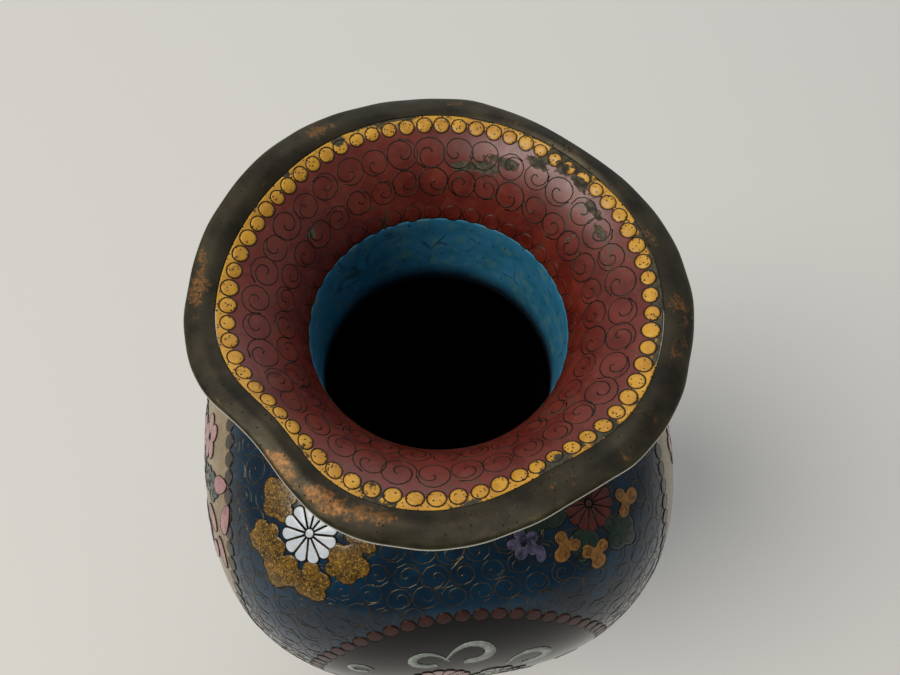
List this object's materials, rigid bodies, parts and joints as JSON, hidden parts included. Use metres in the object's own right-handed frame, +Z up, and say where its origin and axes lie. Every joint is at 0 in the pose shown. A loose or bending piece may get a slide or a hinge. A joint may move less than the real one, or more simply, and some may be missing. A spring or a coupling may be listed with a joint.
{
  "type": "cloisonne vase",
  "caption": "Cloisonne vase with a pinched, flaring mouth, a soft four-sided body with panels and flower sprigs, and a brass rim and foot ring",
  "frame": {"origin": "centre of the foot's underside, on the surface that the vase stands on", "axes": "+Z is up along the vase's axis, -Y is the black front panel's side, +X is to the right seen from the front"},
  "size_m": [0.1332, 0.1332, 0.2849],
  "materials": {
    "copper": "raised copper sheet, oxidised",
    "patinated_brass": "dark olive-brown patina, worn coppery in patches",
    "brass_wire": "tarnished flat wire, ground flush",
    "red_enamel": "opaque brick-red enamel, worn semi-gloss",
    "yellow_enamel": "opaque yellow enamel with pinholes",
    "turquoise_enamel": "mottled turquoise-blue enamel with fine cracks",
    "blue_enamel": "polished deep blue enamel",
    "black_enamel": "polished black enamel",
    "tan_enamel": "tan enamel with gold specks",
    "brown_enamel": "reddish-brown enamel beads",
    "white_enamel": "opaque white enamel with pinholes",
    "oxblood_enamel": "dark oxblood enamel",
    "goldstone_enamel": "translucent enamel full of gold grains",
    "green_enamel": "dark green enamel",
    "ochre_enamel": "opaque ochre enamel with pinholes",
    "pink_enamel": "opaque pink enamel",
    "pale_enamel": "opaque greyish-white enamel",
    "lavender_enamel": "opaque lavender enamel, partly lost"
  },
  "bodies": {
    "root": {"copper_mouth_flare": "copper", "copper_neck": "copper", "copper_body_upper": "copper", "copper_body_lower": "copper", "base_disc": "copper", "rim_band": "patinated_brass", "foot_ring": "patinated_brass", "mouth_edge_wire": "brass_wire", "mouth_inner_wire": "brass_wire", "neck_base_wire": "brass_wire", "foot_border_wire": "brass_wire", "mouth_bead_border": "yellow_enamel", "mouth_red_enamel": "red_enamel", "neck_lining_enamel": "turquoise_enamel", "body_lining_enamel": "turquoise_enamel", "floor_lining_enamel": "turquoise_enamel", "base_counter_enamel": "turquoise_enamel", "flare_underside_enamel": "blue_enamel", "body_ground_enamel": "blue_enamel", "foot_border_enamel": "brown_enamel", "panel_front": "black_enamel", "panel_back": "black_enamel", "panel_left": "tan_enamel", "panel_right": "tan_enamel", "bead_border_front": "brown_enamel", "bead_border_right": "brown_enamel", "bead_border_back": "brown_enamel", "bead_border_left": "brown_enamel", "flower_front_left": "white_enamel", "flower_back_right": "white_enamel", "flower_front_right": "oxblood_enamel", "flower_back_left": "oxblood_enamel"}
  },
  "joints": []
}
